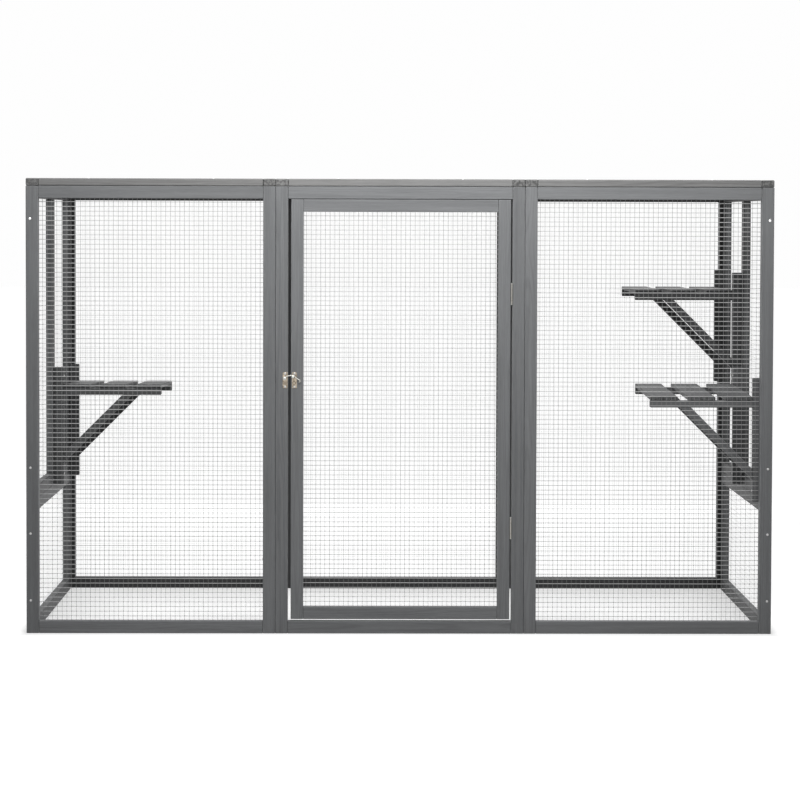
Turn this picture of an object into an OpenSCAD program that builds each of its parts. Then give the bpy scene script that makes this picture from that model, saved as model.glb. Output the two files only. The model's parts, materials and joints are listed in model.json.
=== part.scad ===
// Walk-in outdoor cat house: framed net walls, a netted roof, a hinged door and three shelves.
// The front faces -Y, +Z is up, and the origin is at the centre of the base.
// Frame members are plain boards. Stiles run the full height and rails sit between them.

/* [Enclosure] */
// Width of one front, back or roof panel
panel_w = 1000; // [800:10:1200]
// Height of the walls
wall_h = 1800; // [1600:10:2200]
// Depth from the front panels' front faces to the back panels' back faces
depth = 1000; // [900:10:1300]
// Height of the lower frame of each side wall
side_split = 535; // [400:5:600]
// Width of every frame member
member_w = 50; // [44:1:60]
// Thickness of every frame member
member_t = 30; // [24:1:36]

/* [Net] */
// Spacing of the wires in the real net
mesh_pitch = 19; // [16:1:25]
// One wire in this many is drawn
mesh_keep = 4; // [3:1:8]
// Thickness of a wire
wire_d = 1.2; // [1:0.1:2]
// How far the net laps onto the wood around an opening
net_lap = 15; // [8:1:18]

/* [Door] */
// Gap beside the door on the latch side
latch_gap = 12; // [6:1:16]
// Gap beside the door on the hinge side
hinge_gap = 6.5; // [5:0.5:10]
// Gap above the door
top_gap = 2; // [1:0.5:8]
// Gap below the door
bottom_gap = 8; // [4:1:16]

/* [Hinges] */
// Height of the lower hinge's middle
lower_hinge_z = 428; // [300:1:600]
// Height of the upper hinge's middle
upper_hinge_z = 1371; // [1200:1:1450]
// Length of a hinge
hinge_l = 83; // [60:1:110]
// Thickness of a hinge leaf
leaf_t = 1.6; // [1.2:0.1:2]
// Width of a hinge leaf behind its barrel
leaf_w = 24; // [18:1:25]
// Diameter of a hinge pin
pin_d = 3; // [2.4:0.1:3.6]
// Thickness of the barrel wall around the pin
barrel_wall = 1.6; // [1.4:0.1:2.6]
// Number of knuckles along a hinge
knuckle_n = 3; // [3:2:7]

/* [Latch] */
// Height of the latch plates' middle
latch_z = 1022; // [800:1:1100]
// Width of a latch plate
plate_w = 20; // [18:1:22]
// Height of a latch plate
plate_h = 64; // [60:1:80]
// Thickness of a latch plate
plate_t = 2; // [1.5:0.1:3]
// Room between a plate and the hook
hook_standoff = 3.25; // [2:0.05:4]
// Diameter of the hook's rod
rod_d = 4.5; // [4:0.1:6]
// Diameter of the pivot that the hook turns on
pivot_d = 6; // [5:0.1:7]
// Diameter of the post that the hook rests on
post_d = 6; // [5:0.1:7]
// Diameter of the heads on the pivot and on the post
stud_head_d = 11; // [10:0.5:13]
// Thickness of those heads
stud_head_t = 2.5; // [1.5:0.1:4]
// Diameter of the heads of the latch plates' screws
latch_head_d = 9; // [6:0.5:10]
// Thickness of those heads
latch_head_t = 1.8; // [1:0.1:2]

/* [Shelves] */
// Height of the foot of the left shelf's front bracket
left_foot_z = 535; // [500:1:537]
// How much higher the left shelf's rear bracket is than its front one
left_rear_rise = -20; // [-30:1:30]
// Height of the foot of the lower right shelf's front bracket
low_foot_z = 530; // [500:1:537]
// How much higher the lower right shelf's rear bracket is than its front one
low_rear_rise = 15; // [-30:1:30]
// Height of the foot of the upper right shelf's front bracket
high_foot_z = 945; // [900:1:1100]
// How much higher the upper right shelf's rear bracket is than its front one
high_rear_rise = 0; // [-30:1:30]
// Height of a bracket's leg
leg_h = 500; // [480:1:560]
// Width of a bracket's leg
leg_w = 40; // [30:1:50]
// Thickness of a bracket, front to back
bracket_t = 30; // [20:1:36]
// Height of a bracket's arm
arm_h = 28; // [20:1:36]
// Length of a bracket's arm beyond its leg
arm_l = 416; // [390:1:450]
// Width of a bracket's brace
brace_w = 30; // [24:1:40]
// Distance from the inner corner to where the brace's upper edge meets arm and leg
brace_run = 250; // [200:1:270]
// Height that a leg stands above its shelf
leg_above = 75; // [60:1:90]
// Thickness of a plank
plank_t = 15; // [12:1:20]
// Width of a plank
plank_w = 112; // [90:1:120]
// Number of planks on a shelf
plank_n = 3; // [2:1:3]

/* [Screws] */
// Diameter of the long frame screws
screw_d = 4.5; // [4:0.1:6]
// Diameter of their heads
screw_head_d = 10; // [8:0.5:12]
// Thickness of their heads
screw_head_t = 2.2; // [1.5:0.1:3]
// Distance from a side frame's end to its corner screw
corner_inset = 132.5; // [80:0.5:160]
// Depth that a frame screw reaches into its second board
bite = 20; // [12:1:24]
// Distance from a bracket's foot to its lower leg screw
leg_screw_low = 44; // [30:1:60]
// Distance from the top of a bracket's leg to its upper leg screw
leg_screw_high = 38; // [25:1:50]
// Diameter of the small screws in hinges, latch and planks
small_screw_d = 3; // [2.5:0.1:3.5]
// Diameter of their heads
small_head_d = 6; // [5:0.1:7]
// Thickness of their heads
small_head_t = 0.8; // [0.6:0.1:1.2]
// Length of a hinge or latch screw in the wood
small_bite = 16; // [10:1:20]

/* [Hidden] */
// Clearance around a screw's shank, and the running clearance of a pin
screw_fit = 0.1;
running_fit = 0.05;
// Clearance between neighbours that only rest against each other
seat = 0.3;
// Gap between the two wire layers of a net
weld_gap = 0.05;
// Gap between the separate boards of a bracket
butt_gap = 0.1;
// How far the planks' ends stay back from the brackets' outer faces
plank_back = 1;
// Sides of a screw's shank, of its head and of the hook's rod
shank_sides = 6;
head_sides = 8;
rod_sides = 8;
// Smoothness of round hardware
$fn = 32;

half_w = 1.5 * panel_w;
roof_z = wall_h + member_t;
net_t = 2 * wire_d + weld_gap;
net_step = mesh_pitch * mesh_keep;
front_proud = plate_t + hook_standoff + rod_d + running_fit + stud_head_t;
back_proud = max(screw_head_t, net_t);
front_y = (front_proud - back_proud - depth) / 2;
back_y = front_y + depth;
mid_y = front_y + depth / 2;
side_w = depth - 2 * member_t;
upper_h = wall_h - side_split;
side_x = half_w - net_t - member_t / 2;

door_w = panel_w - 2 * member_w - latch_gap - hinge_gap;
door_h = wall_h - 2 * member_w - top_gap - bottom_gap;
door_x = -panel_w / 2 + member_w + latch_gap;
door_z = member_w + bottom_gap;

stile_edge_x = panel_w / 2 - member_w;
door_edge_x = stile_edge_x - hinge_gap;
barrel_d = pin_d + 2 * running_fit + 2 * barrel_wall;
pin_x = stile_edge_x - hinge_gap / 2;
pin_y = front_y - barrel_d / 2 - 0.6;
leaf_start = barrel_d / 2 + seat;
knuckle_l = hinge_l / knuckle_n;
pin_head_t = 1.5;
pin_head_d = barrel_d - 1;
hinge_zs = [lower_hinge_z, upper_hinge_z];
hinge_screw_dz = [-hinge_l / 3, hinge_l / 3];
leaf_screw_y = front_y + leaf_w / 2 + 3;

// The hook's centre line from its pivot: over the post, down to the finger end and back under it
hook_line = [[0, 0], [10, 9], [36, 12], [46, 2], [60, -7], [62, -12], [56, -16]];
post_back = 3;
frame_plate_x = -panel_w / 2 + member_w - plate_w / 2 - 1;
keeper_x = door_x + plate_w / 2 + 4;
pivot_at = [frame_plate_x - 2, latch_z + 8];
arm_run = hook_line[2] - hook_line[1];
arm_drop = (rod_d + post_d) / 2 * norm(arm_run) / arm_run[0] + seat;
post_at = pivot_at + hook_line[2] - post_back * [1, arm_run[1] / arm_run[0]] - [0, arm_drop];
hook_y = front_y - plate_t - hook_standoff - rod_d / 2;
plate_screw_dz = plate_h / 2 - 6;

wall_x = half_w - member_t - net_t;
leg_x = wall_x - leg_w;
bracket_in = member_t + net_t + seat;
shelf_l = depth / 2 - bracket_in - seat / 2;
shelf_rise = leg_h - leg_above;
plank_gap = (arm_l - plank_n * plank_w) / (plank_n - 1);
leg_screw_zs = [leg_screw_low, leg_h - leg_screw_high];

// Each shelf's side, the front of its half of the side wall, its front foot's height and its rear rise
left_shelf = [-1, mid_y, left_foot_z, left_rear_rise];
right_low_shelf = [1, front_y, low_foot_z, low_rear_rise];
right_high_shelf = [1, mid_y, high_foot_z, high_rear_rise];
SHELVES = [left_shelf, right_low_shelf, right_high_shelf];

wood_colour = [0.42, 0.43, 0.44];
steel_colour = [0.72, 0.73, 0.74];
hinge_colour = [0.66, 0.62, 0.54];

// Places: each child is drawn in its panel's own frame, X across, Y through the wood and Z up
module in_front(i) translate([(i - 1.5) * panel_w, front_y, 0]) children();
module in_back(i) translate([(i - 1.5) * panel_w, back_y - member_t, 0]) children();
module in_roof(i) translate([(i - 1.5) * panel_w, front_y, roof_z]) rotate([-90, 0, 0]) children();
module on_side(s)
    mirror([s > 0 ? 1 : 0, 0, 0])
        translate([member_t / 2 - side_x, front_y + member_t, 0]) rotate([0, 0, 90]) children();
module in_door() translate([door_x, front_y, door_z]) children();

// Boards of one frame
module stiles(w, h)
    for (x = [0, w - member_w]) translate([x, 0, 0]) cube([member_w, member_t, h]);
module rails(w, h)
    for (z = [0, h - member_w]) translate([member_w, 0, z]) cube([w - 2 * member_w, member_t, member_w]);

// Welded net on the far face of a frame: upright wires on the wood, level wires on top of them
module net(w, h) {
    net_w = w - 2 * (member_w - net_lap);
    net_h = h - 2 * (member_w - net_lap);
    across = floor(net_w / net_step);
    up = floor(net_h / net_step);
    color(steel_colour)
        translate([w / 2, member_t, h / 2]) {
            for (i = [0 : across])
                translate([(i - across / 2) * net_step - wire_d / 2, 0, -net_h / 2])
                    cube([wire_d, wire_d, net_h]);
            for (i = [0 : up])
                translate([-net_w / 2, wire_d + weld_gap, (i - up / 2) * net_step - wire_d / 2])
                    cube([net_w, wire_d, wire_d]);
        }
}

// A screw at the origin runs along +Z, with its head below the surface that it clamps
module screw(l, d, head_d, head_t) {
    translate([0, 0, -head_t]) cylinder(h = head_t, d = head_d, $fn = head_sides);
    translate([0, 0, -head_t / 2]) cylinder(h = l + head_t / 2, d = d, $fn = shank_sides);
}
module hole(l, d)
    translate([0, 0, -1]) cylinder(h = l + 1.5, d = d + 2 * screw_fit, $fn = shank_sides);

// Front and back panels are screwed to the side frames near each side frame's ends
corner_zs = [corner_inset, side_split - corner_inset, side_split + corner_inset, wall_h - corner_inset];
module corner_sites()
    for (s = [-1, 1], z = corner_zs) {
        translate([s * side_x, front_y, z]) rotate([-90, 0, 0]) children();
        translate([s * side_x, back_y, z]) rotate([90, 0, 0]) children();
    }
// Neighbouring panels are screwed together through their stiles
module join_sites()
    for (s = [-1, 1], y = [front_y + member_t / 2, back_y - member_t / 2], z = [wall_h / 6, wall_h * 5 / 6])
        translate([s * (panel_w / 2 + member_w), y, z]) rotate([0, -90 * s, 0]) children();
// Roof frames are screwed down into the front and back top rails
module roof_sites()
    for (i = [-1, 0, 1], x = [-panel_w / 4, panel_w / 4], y = [front_y + member_t / 2, back_y - member_t / 2])
        translate([i * panel_w + x, y, roof_z]) rotate([180, 0, 0]) children();
// The two frames of a side wall are screwed together through the doubled rail
module split_sites()
    for (s = [-1, 1], y = [-side_w / 4, side_w / 4])
        translate([s * side_x, mid_y + y, side_split - member_w]) children();
// Brackets are screwed through their legs into the side frames: i = 0 is the front one, 1 the rear one
function shelf_y(shelf) = shelf[1] + (shelf[1] < mid_y ? bracket_in : seat / 2);
function bracket_y(shelf, i) = shelf_y(shelf) + bracket_t / 2 + i * (shelf_l - bracket_t);
function foot_z(shelf, i) = shelf[2] + i * shelf[3];
module leg_sites(shelf)
    for (i = [0, 1], z = leg_screw_zs)
        translate([shelf[0] * leg_x, bracket_y(shelf, i), foot_z(shelf, i) + z])
            rotate([0, 90 * shelf[0], 0]) children();
module all_leg_sites() for (shelf = SHELVES) leg_sites(shelf) children();
// Planks lie across both arms, and so slope where the brackets' heights differ
module on_arms(shelf) {
    edge = shelf[3] < 0 ? bracket_t : 0;
    slope = atan(shelf[3] / (shelf_l - bracket_t));
    translate([0, shelf_y(shelf) + edge, shelf[2] + shelf_rise - plank_t])
        rotate([slope, 0, 0]) translate([0, -edge, 0]) children();
}
// Planks are screwed down into the arms
module plank_sites(shelf)
    on_arms(shelf)
        for (y = [bracket_t / 2, shelf_l - bracket_t / 2], i = [0 : plank_n - 1])
            translate([shelf[0] * (leg_x - plank_w / 2 - i * (plank_w + plank_gap)), y, plank_t])
                rotate([180, 0, 0]) children();
// Hinge leaves and latch plates have their own small screws
module leaf_sites(s)
    for (z = hinge_zs, dz = hinge_screw_dz)
        translate([s > 0 ? stile_edge_x - leaf_t : door_edge_x + leaf_t, leaf_screw_y, z + dz])
            rotate([0, 90 * s, 0]) children();
module plate_sites(x)
    for (dz = [-plate_screw_dz, plate_screw_dz])
        translate([x, front_y - plate_t, latch_z + dz]) rotate([-90, 0, 0]) children();

leg_screw_l = leg_w + bite;
corner_screw_l = member_t + bite;
join_screw_l = member_w + bite * 1.5;
split_screw_l = member_w + bite;
plank_screw_l = plank_t + bite;

module corner_holes() corner_sites() hole(corner_screw_l, screw_d);
module join_holes() join_sites() hole(join_screw_l, screw_d);
module roof_holes() roof_sites() hole(corner_screw_l, screw_d);
module split_holes() split_sites() hole(split_screw_l, screw_d);
module leg_holes() all_leg_sites() hole(leg_screw_l, screw_d);

// Front and back walls: the front nets are behind their frames, and so are the back nets
module panel_stiles(i, at_back)
    color(wood_colour) difference() {
        if (at_back) in_back(i) stiles(panel_w, wall_h);
        else in_front(i) stiles(panel_w, wall_h);
        if (i != 1) corner_holes();
        join_holes();
        if (i == 1 && !at_back) {
            leaf_sites(1) hole(small_bite + leaf_t, small_screw_d);
            plate_sites(frame_plate_x) hole(small_bite + plate_t, small_screw_d);
        }
    }
module panel_rails(i, at_back)
    color(wood_colour) difference() {
        if (at_back) in_back(i) rails(panel_w, wall_h);
        else in_front(i) rails(panel_w, wall_h);
        roof_holes();
    }
module front_net(i) in_front(i) net(panel_w, wall_h);
module back_net(i) in_back(i) net(panel_w, wall_h);

// Side walls: a low frame below and a tall frame with a middle stile above, nets outside
module side_lower_stiles(s)
    color(wood_colour) difference() {
        on_side(s) stiles(side_w, side_split);
        corner_holes();
    }
module side_lower_rails(s)
    color(wood_colour) difference() {
        on_side(s) rails(side_w, side_split);
        split_holes();
    }
module side_upper_stiles(s)
    color(wood_colour) difference() {
        on_side(s) translate([0, 0, side_split]) {
            stiles(side_w, upper_h);
            translate([(side_w - member_w) / 2, 0, member_w])
                cube([member_w, member_t, upper_h - 2 * member_w]);
        }
        corner_holes();
        leg_holes();
    }
module side_upper_rails(s)
    color(wood_colour) difference() {
        on_side(s) translate([0, 0, side_split]) rails(side_w, upper_h);
        split_holes();
        leg_holes();
    }
module side_lower_net(s) on_side(s) net(side_w, side_split);
module side_upper_net(s) on_side(s) translate([0, 0, side_split]) net(side_w, upper_h);

// Roof frames
module roof_sides(i) color(wood_colour) in_roof(i) stiles(panel_w, depth);
module roof_ends(i)
    color(wood_colour) difference() {
        in_roof(i) rails(panel_w, depth);
        roof_holes();
    }
module roof_net(i) in_roof(i) net(panel_w, depth);

// Shelves: a bracket is a leg, an arm and a brace, at Y y and with its foot at Z z
module bracket(s, y, z) {
    arm_z = z + shelf_rise - plank_t - arm_h;
    near = brace_run - butt_gap;
    far = brace_run + brace_w * sqrt(2) - butt_gap;
    mirror([s < 0 ? 1 : 0, 0, 0]) translate([leg_x, y - bracket_t / 2, 0]) {
        translate([0, 0, z]) cube([leg_w, bracket_t, leg_h]);
        translate([-arm_l, 0, arm_z]) cube([arm_l - butt_gap, bracket_t, arm_h]);
        translate([-butt_gap, bracket_t, arm_z - butt_gap]) rotate([90, 0, 0]) linear_extrude(bracket_t)
            polygon([[0, -near], [0, -far], [-far, 0], [-near, 0]]);
    }
}
module shelf_brackets(shelf)
    color(wood_colour) difference() {
        for (i = [0, 1]) bracket(shelf[0], bracket_y(shelf, i), foot_z(shelf, i));
        plank_sites(shelf) hole(plank_screw_l, small_screw_d);
        leg_sites(shelf) hole(leg_screw_l, screw_d);
    }
module shelf_planks(shelf)
    color(wood_colour) difference() {
        on_arms(shelf) mirror([shelf[0] < 0 ? 1 : 0, 0, 0])
            for (i = [0 : plank_n - 1])
                translate([leg_x - plank_w - i * (plank_w + plank_gap), plank_back, 0])
                    cube([plank_w, shelf_l - 2 * plank_back, plank_t]);
        plank_sites(shelf) hole(plank_screw_l, small_screw_d);
    }

// Long screws of the walls and the roof
module frame_screws()
    color(steel_colour) {
        corner_sites() screw(corner_screw_l, screw_d, screw_head_d, screw_head_t);
        join_sites() screw(join_screw_l, screw_d, screw_head_d, screw_head_t);
        roof_sites() screw(corner_screw_l, screw_d, screw_head_d, screw_head_t);
        split_sites() screw(split_screw_l, screw_d, screw_head_d, screw_head_t);
    }
module shelf_screws()
    color(steel_colour) {
        all_leg_sites() screw(leg_screw_l, screw_d, screw_head_d, screw_head_t);
        for (shelf = SHELVES)
            plank_sites(shelf) screw(plank_screw_l, small_screw_d, small_head_d, small_head_t);
    }

// Door
module door_stiles()
    color(wood_colour) difference() {
        in_door() stiles(door_w, door_h);
        leaf_sites(-1) hole(small_bite + leaf_t, small_screw_d);
        plate_sites(keeper_x) hole(small_bite + plate_t, small_screw_d);
    }
module door_rails() color(wood_colour) in_door() rails(door_w, door_h);
module door_net() in_door() net(door_w, door_h);

// Butt hinges in the gap beside the door: s = 1 is the frame's leaf, s = -1 the door's
module hinge_leaf(z, s)
    color(hinge_colour) difference() {
        translate([0, 0, z - hinge_l / 2]) {
            translate([s > 0 ? stile_edge_x - leaf_t : door_edge_x, pin_y + leaf_start, 0])
                cube([leaf_t, front_y + leaf_w + leaf_t - pin_y - leaf_start, hinge_l]);
            for (i = [s > 0 ? 0 : 1 : 2 : knuckle_n - 1])
                translate([0, 0, i * knuckle_l + running_fit]) {
                    translate([pin_x, pin_y, 0]) cylinder(h = knuckle_l - 2 * running_fit, d = barrel_d);
                    translate([s > 0 ? stile_edge_x - leaf_t : door_edge_x, pin_y, 0])
                        cube([leaf_t, leaf_start + leaf_t, knuckle_l - 2 * running_fit]);
                }
        }
        translate([pin_x, pin_y, z - hinge_l]) cylinder(h = 2 * hinge_l, d = pin_d + 2 * running_fit);
        leaf_sites(s) hole(small_bite, small_screw_d);
    }
module hinge_pin(z)
    color(hinge_colour) translate([pin_x, pin_y, z]) {
        translate([0, 0, -hinge_l / 2 - pin_head_t / 2]) cylinder(h = hinge_l + pin_head_t, d = pin_d);
        for (end = [-hinge_l / 2 - pin_head_t, hinge_l / 2])
            translate([0, 0, end]) cylinder(h = pin_head_t, d = pin_head_d);
    }

// Latch: the hook turns on the frame's plate and rests on the post of the door's keeper
module stud(at, d)
    translate([at[0], front_y - plate_t / 2, at[1]]) rotate([90, 0, 0]) {
        cylinder(h = front_proud - plate_t / 2 - stud_head_t / 2, d = d);
        translate([0, 0, front_proud - plate_t / 2 - stud_head_t])
            cylinder(h = stud_head_t, d = stud_head_d, $fn = 2 * head_sides);
    }
module plate(x)
    translate([x - plate_w / 2, front_y - plate_t, latch_z - plate_h / 2]) cube([plate_w, plate_t, plate_h]);
module latch_plate()
    color(steel_colour) difference() {
        union() {
            plate(frame_plate_x);
            stud(pivot_at, pivot_d);
            translate([pivot_at[0], front_y - plate_t / 2, pivot_at[1]]) rotate([90, 0, 0])
                cylinder(h = plate_t / 2 + hook_standoff - running_fit, d = pivot_d + 2);
        }
        plate_sites(frame_plate_x) hole(small_bite, small_screw_d);
    }
module latch_keeper()
    color(steel_colour) difference() {
        union() {
            plate(keeper_x);
            stud(post_at, post_d);
        }
        plate_sites(keeper_x) hole(small_bite, small_screw_d);
    }
module latch_hook()
    color(steel_colour) translate([pivot_at[0], hook_y, pivot_at[1]]) difference() {
        union() {
            for (i = [0 : len(hook_line) - 2]) {
                a = hook_line[i];
                run = hook_line[i + 1] - a;
                translate([a[0], 0, a[1]]) rotate([0, atan2(run[0], run[1]), 0])
                    cylinder(h = norm(run), d = rod_d - 0.1, $fn = rod_sides);
                translate([hook_line[i + 1][0], 0, hook_line[i + 1][1]]) sphere(d = rod_d, $fn = rod_sides);
            }
            rotate([90, 0, 0]) cylinder(h = rod_d, d = pivot_d + 2 * rod_d, center = true);
        }
        rotate([90, 0, 0]) cylinder(h = rod_d * 2, d = pivot_d + 2 * running_fit, center = true);
    }

module frame_hardware_screws()
    color(steel_colour) {
        leaf_sites(1) screw(small_bite + leaf_t, small_screw_d, small_head_d, small_head_t);
        plate_sites(frame_plate_x) screw(small_bite + plate_t, small_screw_d, latch_head_d, latch_head_t);
    }
module door_hardware_screws()
    color(steel_colour) {
        leaf_sites(-1) screw(small_bite + leaf_t, small_screw_d, small_head_d, small_head_t);
        plate_sites(keeper_x) screw(small_bite + plate_t, small_screw_d, latch_head_d, latch_head_t);
    }

panel_stiles(0, false);  // front_left_stiles
panel_rails(0, false);  // front_left_rails
front_net(0);  // front_left_net
panel_stiles(1, false);  // front_centre_stiles
panel_rails(1, false);  // front_centre_rails
panel_stiles(2, false);  // front_right_stiles
panel_rails(2, false);  // front_right_rails
front_net(2);  // front_right_net
panel_stiles(0, true);  // back_left_stiles
panel_rails(0, true);  // back_left_rails
back_net(0);  // back_left_net
panel_stiles(1, true);  // back_centre_stiles
panel_rails(1, true);  // back_centre_rails
back_net(1);  // back_centre_net
panel_stiles(2, true);  // back_right_stiles
panel_rails(2, true);  // back_right_rails
back_net(2);  // back_right_net
side_lower_stiles(-1);  // left_lower_stiles
side_lower_rails(-1);  // left_lower_rails
side_lower_net(-1);  // left_lower_net
side_upper_stiles(-1);  // left_upper_stiles
side_upper_rails(-1);  // left_upper_rails
side_upper_net(-1);  // left_upper_net
side_lower_stiles(1);  // right_lower_stiles
side_lower_rails(1);  // right_lower_rails
side_lower_net(1);  // right_lower_net
side_upper_stiles(1);  // right_upper_stiles
side_upper_rails(1);  // right_upper_rails
side_upper_net(1);  // right_upper_net
roof_sides(0);  // roof_left_sides
roof_ends(0);  // roof_left_ends
roof_net(0);  // roof_left_net
roof_sides(1);  // roof_centre_sides
roof_ends(1);  // roof_centre_ends
roof_net(1);  // roof_centre_net
roof_sides(2);  // roof_right_sides
roof_ends(2);  // roof_right_ends
roof_net(2);  // roof_right_net
shelf_planks(left_shelf);  // left_shelf_planks
shelf_brackets(left_shelf);  // left_shelf_brackets
shelf_planks(right_low_shelf);  // right_low_shelf_planks
shelf_brackets(right_low_shelf);  // right_low_shelf_brackets
shelf_planks(right_high_shelf);  // right_high_shelf_planks
shelf_brackets(right_high_shelf);  // right_high_shelf_brackets
frame_screws();
shelf_screws();
door_stiles();
door_rails();
door_net();
hinge_leaf(upper_hinge_z, 1);  // upper_hinge_frame_leaf
hinge_leaf(upper_hinge_z, -1);  // upper_hinge_door_leaf
hinge_pin(upper_hinge_z);  // upper_hinge_pin
hinge_leaf(lower_hinge_z, 1);  // lower_hinge_frame_leaf
hinge_leaf(lower_hinge_z, -1);  // lower_hinge_door_leaf
hinge_pin(lower_hinge_z);  // lower_hinge_pin
latch_plate();
latch_hook();
latch_keeper();
frame_hardware_screws();
door_hardware_screws();
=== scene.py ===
import json
import math
import random

import bmesh
import bpy
from mathutils import Matrix, Vector


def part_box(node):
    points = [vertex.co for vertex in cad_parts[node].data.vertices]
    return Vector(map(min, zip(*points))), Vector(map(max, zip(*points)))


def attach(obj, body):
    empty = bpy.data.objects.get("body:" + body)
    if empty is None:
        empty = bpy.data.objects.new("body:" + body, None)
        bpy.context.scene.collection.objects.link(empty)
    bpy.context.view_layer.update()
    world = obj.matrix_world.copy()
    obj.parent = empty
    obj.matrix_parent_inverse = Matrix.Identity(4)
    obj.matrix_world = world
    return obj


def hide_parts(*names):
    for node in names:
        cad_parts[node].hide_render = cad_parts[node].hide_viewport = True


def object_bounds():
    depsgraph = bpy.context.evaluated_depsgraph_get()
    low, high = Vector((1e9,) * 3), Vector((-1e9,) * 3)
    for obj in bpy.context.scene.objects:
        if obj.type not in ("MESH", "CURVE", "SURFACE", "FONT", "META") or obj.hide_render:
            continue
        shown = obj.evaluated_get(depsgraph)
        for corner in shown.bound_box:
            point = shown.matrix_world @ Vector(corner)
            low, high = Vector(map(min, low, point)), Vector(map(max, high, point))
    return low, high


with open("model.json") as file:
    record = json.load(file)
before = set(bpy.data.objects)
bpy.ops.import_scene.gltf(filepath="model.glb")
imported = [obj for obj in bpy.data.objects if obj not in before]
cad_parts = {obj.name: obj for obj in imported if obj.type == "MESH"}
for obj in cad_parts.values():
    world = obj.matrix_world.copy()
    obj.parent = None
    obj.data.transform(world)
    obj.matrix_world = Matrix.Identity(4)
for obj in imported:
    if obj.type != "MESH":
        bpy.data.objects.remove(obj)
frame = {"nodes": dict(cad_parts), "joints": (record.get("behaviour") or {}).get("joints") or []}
cad_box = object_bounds()

# Front wall. Three frames of planed softwood with a grey stain: full-height stiles with the
# rails butted between them. The middle frame is the doorway. Every board has eased edges and
# its own place in the log, so that no two show the same grain.
PANELS = ("left", "centre", "right")
BOARD_ENDINGS = ("stiles", "rails", "sides", "ends", "planks", "brackets")
EDGE_ROUND = 0.0026
FLAT_FACE = 0.99
LEANING_FACE = 0.2
TOUCHING = 0.001
PAST_THE_ROUND = 0.003
FACING_ALONG = 0.6
END_GRAIN_AREA = 2e-4
PITH_ANGLES = (0.3, 2.8)
PITH_DISTANCES = (0.05, 0.1)
LOG_LENGTH = 40


def parts_of(node):
    """The corners of each separate solid of a CAD node."""
    mesh = bmesh.new()
    mesh.from_mesh(frame["nodes"][node].data)
    bmesh.ops.remove_doubles(mesh, verts=mesh.verts, dist=1e-6)
    waiting = set(mesh.verts)
    parts = []
    while waiting:
        reached = [waiting.pop()]
        part = []
        while reached:
            vert = reached.pop()
            part.append(vert.co.copy())
            for edge in vert.link_edges:
                other = edge.other_vert(vert)
                if other in waiting:
                    waiting.discard(other)
                    reached.append(other)
        parts.append(part)
    mesh.free()
    return sorted(parts, key=lambda part: tuple(round(v, 5) for v in box_of(part)[0]))


def box_of(corners):
    """The lowest and highest corner of some points."""
    return Vector(map(min, zip(*corners))), Vector(map(max, zip(*corners)))


def add_to(mesh, piece):
    """Adds one bmesh to another, and frees it."""
    data = bpy.data.meshes.new("passing")
    piece.to_mesh(data)
    piece.free()
    mesh.from_mesh(data)
    bpy.data.meshes.remove(data)


BOARD_BOXES = [box_of(part) for node in frame["nodes"] if node.endswith(BOARD_ENDINGS)
               for part in parts_of(node)]


def meets_a_board(face, low, high, turn):
    """Whether a face of a board's rounded edge looks at another board that touches it there."""
    main = max(range(3), key=lambda i: abs(face.normal[i]))
    if abs(face.normal[main]) > FLAT_FACE:
        return False
    spot = face.calc_center_median()
    for i in range(3):
        if i == main:
            spot[i] = high[i] + TOUCHING if face.normal[i] > 0 else low[i] - TOUCHING
        elif abs(face.normal[i]) > LEANING_FACE:
            spot[i] -= math.copysign(PAST_THE_ROUND, face.normal[i])
    spot = turn @ spot
    return any(all(a[i] < spot[i] < b[i] for i in range(3)) for a, b in BOARD_BOXES)


def add_board(mesh, low, high, chance, cuts=(), turn=Matrix.Identity(4), rounding=EDGE_ROUND,
              painted_shade=0.0):
    """One planed board between two corners, cut at planes and then turned into place. Its own tone
    is a matter of chance, and a further amount darkens it with painted shade."""
    middle = (low + high) / 2
    size = high - low
    board = bmesh.new()
    bmesh.ops.create_cube(board, size=1.0, matrix=Matrix.LocRotScale(middle, None, size))
    for point, normal in cuts:
        bmesh.ops.bisect_plane(board, geom=board.verts[:] + board.edges[:] + board.faces[:],
                               plane_co=point, plane_no=normal, clear_outer=True)
        bmesh.ops.holes_fill(board, edges=[e for e in board.edges if e.is_boundary])
    bmesh.ops.bevel(board, geom=board.edges[:], offset=rounding, offset_type="OFFSET", segments=2,
                    profile=0.5, affect="EDGES", material=-1)
    # Faces in the grooves where boards meet get painted shade.
    painted_seam_shade = board.faces.layers.float.new("painted_seam_shade")
    for face in board.faces:
        face[painted_seam_shade] = float(not cuts and meets_a_board(face, low, high, turn))
    along, across, through = sorted(range(3), key=lambda i: low[i] - high[i])
    grain = board.verts.layers.float_vector.new("grain")
    place = board.verts.layers.float_vector.new("place")
    half = board.verts.layers.float_vector.new("half")
    tone = board.verts.layers.float.new("tone")
    end = board.verts.layers.float.new("end")
    pith_angle = chance.uniform(*PITH_ANGLES)
    pith_far = chance.uniform(*PITH_DISTANCES)
    shift = Vector((chance.uniform(0, LOG_LENGTH), pith_far * math.cos(pith_angle),
                    pith_far * math.sin(pith_angle)))
    board_tone_and_shade = chance.uniform(-1, 1) - painted_shade
    for vert in board.verts:
        local = vert.co - middle
        spot = Vector((local[along], local[across], local[through]))
        vert[place] = spot
        vert[grain] = spot + shift
        vert[half] = Vector((size[along], size[across], size[through])) / 2
        vert[tone] = board_tone_and_shade
    for face in board.faces:
        if abs(face.normal[along]) > FACING_ALONG and face.calc_area() > END_GRAIN_AREA:
            for vert in face.verts:
                vert[end] = 1.0
    bmesh.ops.transform(board, matrix=turn, verts=board.verts)
    add_to(mesh, board)


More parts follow.
